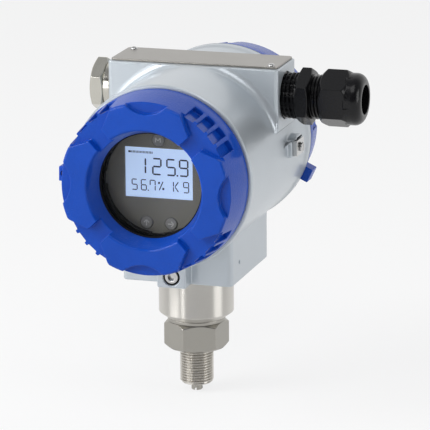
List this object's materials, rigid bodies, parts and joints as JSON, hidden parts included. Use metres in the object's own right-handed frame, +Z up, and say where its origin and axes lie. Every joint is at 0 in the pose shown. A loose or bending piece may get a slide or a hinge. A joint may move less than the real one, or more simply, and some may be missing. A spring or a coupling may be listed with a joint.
{
  "type": "pressure transmitter",
  "caption": "Field pressure transmitter: two-compartment cast head with windowed screw cover, display, cable gland and blanking plug on a steel sensor module with threaded process connection.",
  "frame": {"origin": "centre of the process thread's shoulder, under the hexagon", "axes": "+Z up along the process connection's axis, display cover towards -Y, cable gland towards +X"},
  "size_m": [0.1365, 0.1552, 0.1664],
  "materials": {
    "housing_paint": "silver-grey metallic powder coat on die-cast aluminium",
    "cover_paint": "glossy deep blue paint over cast aluminium",
    "stainless": "turned and brushed stainless steel",
    "nickel": "nickel plated brass",
    "screw_steel": "stainless screw, bright",
    "plate_steel": "brushed stainless sheet",
    "brass": "turned brass",
    "gland_nylon": "black nylon, satin",
    "black_plastic": "black moulded plastic",
    "panel_grey": "dark grey printed front panel",
    "key_grey": "grey rubbery key cap",
    "lcd_face": "pale blue backlit liquid crystal panel",
    "circuit_board": "green solder mask",
    "rubber_black": "black nitrile rubber",
    "window_glass": "clear toughened glass"
  },
  "bodies": {
    "sensor": {"process_fitting": "stainless", "sensor_body": "stainless", "pressure_cell": "stainless", "amplifier_board": "circuit_board", "shoulder_seal": "rubber_black"},
    "head": {"housing": "housing_paint", "rotation_lock_screw": "screw_steel", "lock_screw_seal": "rubber_black", "blank_plug": "nickel", "nameplate": "plate_steel", "nameplate_rivets": "screw_steel", "ground_saddle": "screw_steel", "ground_screw": "screw_steel", "gland_body": "gland_nylon", "board_posts": "brass", "board_screws": "screw_steel", "main_board": "circuit_board", "display_carrier": "black_plastic", "display_board": "circuit_board", "key_switches": "black_plastic", "lcd_module": "lcd_face", "display_panel": "panel_grey", "terminal_block": "black_plastic", "terminal_clamps": "nickel", "terminal_screws": "nickel", "inner_ground_screw": "nickel"},
    "front_ring": {"front_cover_oring": "rubber_black"},
    "front_lid": {"front_cover": "cover_paint", "front_window": "window_glass", "window_gasket": "rubber_black", "window_retainer": "black_plastic", "front_lock_screw": "brass"},
    "rear_ring": {"rear_cover_oring": "rubber_black"},
    "rear_lid": {"rear_cover": "cover_paint", "rear_lock_screw": "brass"},
    "seal_ring": {"gland_seal": "rubber_black"},
    "cap_nut": {"gland_nut": "gland_nylon"},
    "left_key": {"key_left": "key_grey"},
    "right_key": {"key_right": "key_grey"},
    "menu_key": {"key_menu": "key_grey"}
  },
  "joints": [
    {"name": "head_turn", "type": "hinge", "parent": "sensor", "child": "head", "pos_m": [0, 0, 0.045], "axis": [0, 0, 1], "range_deg": [-180, 180]},
    {"name": "front_lid_travel", "type": "slide", "parent": "head", "child": "front_ring", "axis": [0, -1, 0], "range_m": [0, 0.0101]},
    {"name": "front_lid_screw", "type": "hinge", "parent": "front_ring", "child": "front_lid", "pos_m": [0, -0.0534, 0.0975], "axis": [0, -1, 0], "range_deg": [0, 1800]},
    {"name": "rear_lid_travel", "type": "slide", "parent": "head", "child": "rear_ring", "axis": [0, 1, 0], "range_m": [0, 0.0101]},
    {"name": "rear_lid_screw", "type": "hinge", "parent": "rear_ring", "child": "rear_lid", "pos_m": [0, 0.0492, 0.0975], "axis": [0, 1, 0], "range_deg": [0, 1800]},
    {"name": "cap_nut_travel", "type": "slide", "parent": "head", "child": "seal_ring", "axis": [1, 0, 0], "range_m": [0, 0.0076]},
    {"name": "cap_nut_screw", "type": "hinge", "parent": "seal_ring", "child": "cap_nut", "pos_m": [0.062, 0.0111, 0.1266], "axis": [1, 0, 0], "range_deg": [0, 1800]},
    {"name": "left_key_press", "type": "slide", "parent": "head", "child": "left_key", "axis": [0, 1, 0], "range_m": [0, 0.0005], "stiffness_N_per_m": 800},
    {"name": "right_key_press", "type": "slide", "parent": "head", "child": "right_key", "axis": [0, 1, 0], "range_m": [0, 0.0005], "stiffness_N_per_m": 800},
    {"name": "menu_key_press", "type": "slide", "parent": "head", "child": "menu_key", "axis": [0, 1, 0], "range_m": [0, 0.0005], "stiffness_N_per_m": 800}
  ],
  "couplings": [
    {"joint": "front_lid_travel", "follows": "front_lid_screw", "m_per_rad": 0.00031831},
    {"joint": "rear_lid_travel", "follows": "rear_lid_screw", "m_per_rad": 0.00031831},
    {"joint": "cap_nut_travel", "follows": "cap_nut_screw", "m_per_rad": 0.00023873}
  ]
}
